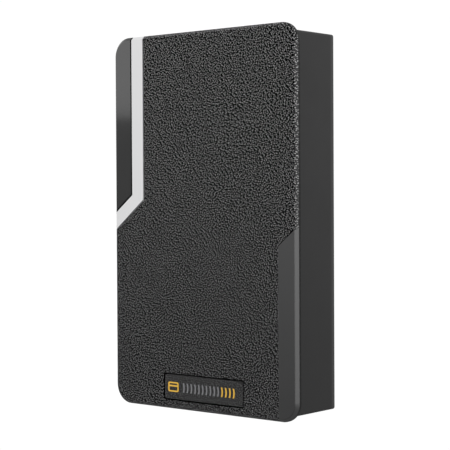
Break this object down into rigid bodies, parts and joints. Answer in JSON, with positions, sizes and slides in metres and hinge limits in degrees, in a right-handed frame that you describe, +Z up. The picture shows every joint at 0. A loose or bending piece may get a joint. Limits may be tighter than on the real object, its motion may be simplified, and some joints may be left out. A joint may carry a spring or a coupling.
{
  "type": "card reader",
  "caption": "Slim wall-mounted proximity card reader with a grained front cover, smoked status window, bent light bar, plain housing and a hook-on wall plate.",
  "frame": {"origin": "on the wall, at the centre of the wall plate's back face and of its screw pattern", "axes": "+X to the right seen from the front, +Y into the wall, +Z up"},
  "size_m": [0.0762, 0.0236, 0.122],
  "materials": {
    "textured_cover": "moulded pebble grain, dark grey ASA",
    "smooth_housing": "fine satin, dark grey ASA",
    "smoked_window": "polished smoked polycarbonate",
    "light_diffuser": "milky white polycarbonate",
    "accent_plastic": "smooth satin",
    "badge_plastic": "satin",
    "badge_grey": "printed grey",
    "badge_amber": "printed amber",
    "seal_rubber": "matt silicone",
    "foam": "closed-cell foam",
    "plate_plastic": "glass-filled polycarbonate",
    "board_laminate": "green solder mask",
    "copper_trace": "bare copper",
    "copper_wire": "enamelled copper",
    "chip_epoxy": "moulded epoxy",
    "tinned_steel": "tinned",
    "screw_steel": "zinc-plated",
    "lock_steel": "stainless",
    "insert_brass": "knurled brass",
    "capacitor_can": "bare aluminium",
    "ferrite": "ferrite sheet",
    "former_plastic": "natural nylon",
    "tray_plastic": "white reflector",
    "led_package": "white package with phosphor",
    "terminal_plastic": "green polyamide",
    "pin_plastic": "black base with gilt pins",
    "ceramic": "ceramic chips",
    "spring_steel": "music wire",
    "plunger_plastic": "natural acetal"
  },
  "bodies": {
    "wall_plate": {"mounting_plate": "plate_plastic", "cable_gasket": "foam"},
    "reader": {"rear_housing": "smooth_housing", "front_cover": "textured_cover", "status_window": "smoked_window", "window_gasket": "seal_rubber", "light_bar": "light_diffuser", "accent_panel": "accent_plastic", "badge_plate": "badge_plastic", "badge_waves": "badge_grey", "badge_icon": "badge_amber", "cover_seal": "seal_rubber", "cover_screws": "screw_steel", "threaded_inserts": "insert_brass", "main_board": "board_laminate", "board_screws": "screw_steel", "status_leds": "led_package", "light_tray": "tray_plastic", "processor_chip": "chip_epoxy", "small_parts": "ceramic", "radio_chip": "chip_epoxy", "crystal": "tinned_steel", "rf_shield": "tinned_steel", "bluetooth_module": "tinned_steel", "bulk_capacitors": "capacitor_can", "power_inductor": "ferrite", "regulator_chip": "chip_epoxy", "buzzer": "chip_epoxy", "antenna_header": "pin_plastic", "antenna_board": "board_laminate", "hf_antenna": "copper_trace", "ferrite_sheet": "ferrite", "coil_former": "former_plastic", "lf_coil": "copper_wire", "terminal_block": "terminal_plastic", "terminal_clamps": "tinned_steel", "terminal_screws": "screw_steel", "tamper_switch": "chip_epoxy", "tamper_spring": "spring_steel"},
    "lock_screw": {"security_screw": "lock_steel"},
    "plunger": {"tamper_plunger": "plunger_plastic"}
  },
  "joints": [
    {"name": "reader_swing", "type": "hinge", "parent": "wall_plate", "child": "reader", "pos_m": [0, -0.0014, 0.0561], "axis": [-1, 0, 0], "range_deg": [0, 20]},
    {"name": "lock_screw_slide", "type": "slide", "parent": "reader", "child": "lock_screw", "axis": [0, 0, 1], "range_m": [0, 0.0039]},
    {"name": "plunger_slide", "type": "slide", "parent": "reader", "child": "plunger", "axis": [0, -1, 0], "range_m": [0, 0.0015], "stiffness_N_per_m": 200, "springref_m": -0.001, "deforming": ["tamper_spring"]}
  ]
}
